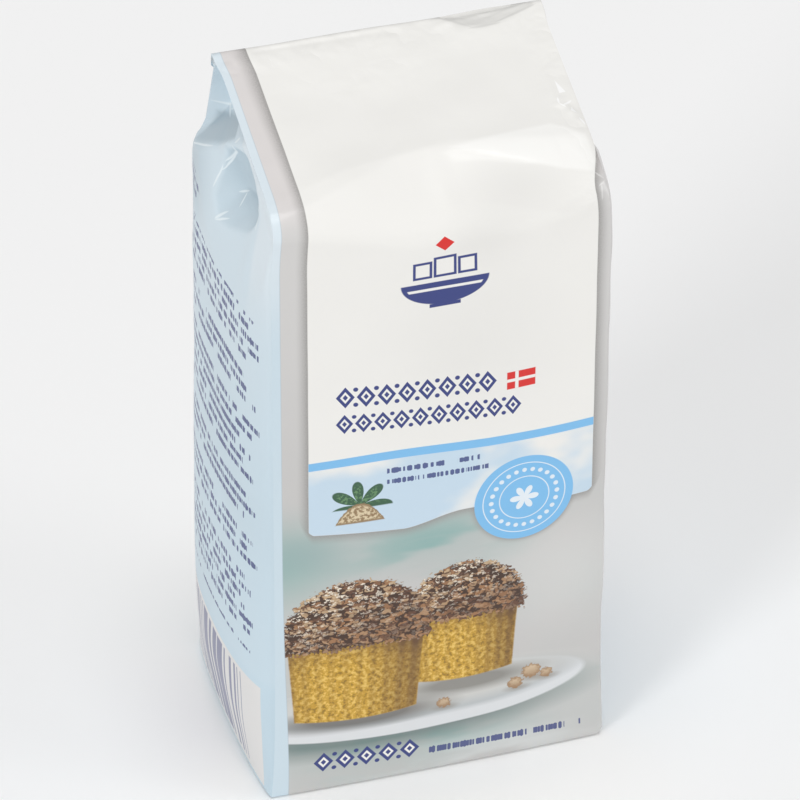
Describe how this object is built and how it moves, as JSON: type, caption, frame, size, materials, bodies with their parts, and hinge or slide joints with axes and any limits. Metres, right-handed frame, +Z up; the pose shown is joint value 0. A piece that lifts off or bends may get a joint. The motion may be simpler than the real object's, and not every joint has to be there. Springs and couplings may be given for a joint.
{
  "type": "sugar pouch",
  "caption": "Shut block-bottomed film pouch of brown sugar with side gussets, a leaning gable top and a sealed end folded down its back.",
  "frame": {"origin": "middle of the flat block bottom that the pouch stands on", "axes": "+Z up through the ridge, X across the front panel, -Y out of the front panel, +Y out of the back"},
  "size_m": [0.0838, 0.0618, 0.1645],
  "materials": {
    "printed_film": "satin-gloss laminate film, printed"
  },
  "bodies": {
    "root": {"pouch": "printed_film"}
  },
  "joints": []
}
